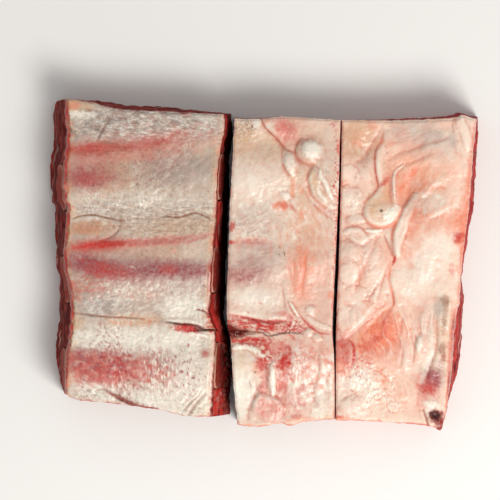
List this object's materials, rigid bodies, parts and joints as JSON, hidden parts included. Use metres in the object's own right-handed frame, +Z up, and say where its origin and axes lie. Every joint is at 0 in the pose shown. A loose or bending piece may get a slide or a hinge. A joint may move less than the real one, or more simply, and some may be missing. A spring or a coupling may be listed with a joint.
{
  "type": "chopped veal ribs",
  "caption": "Raw rack of ribs, inner side up, sawn across into slabs of red meat under a pale cover of fat and membrane, with bone ends in the cut faces.",
  "frame": {"origin": "under the middle of the rack, on its flat underside", "axes": "+X along the ribs towards the fat end, +Y across the ribs towards the back edge, +Z up out of the inner side"},
  "size_m": [0.2197, 0.1681, 0.0356],
  "materials": {
    "meat_left": "raw red meat, moist",
    "meat_middle": "raw red meat, moist",
    "meat_right": "raw red meat, moist",
    "cover_left": "wet grey-beige membrane",
    "cover_middle": "wet pale fat and membrane",
    "cover_right": "wet warm cream fat",
    "bone": "sawn bone with red marrow"
  },
  "bodies": {
    "root": {"meat_left": "meat_left", "meat_middle": "meat_middle", "meat_right": "meat_right", "cover_left": "cover_left", "cover_middle": "cover_middle", "cover_right": "cover_right", "rib_left_1": "bone", "rib_left_2": "bone", "rib_left_3": "bone", "rib_middle_1": "bone", "rib_middle_2": "bone", "rib_middle_3": "bone"}
  },
  "joints": []
}
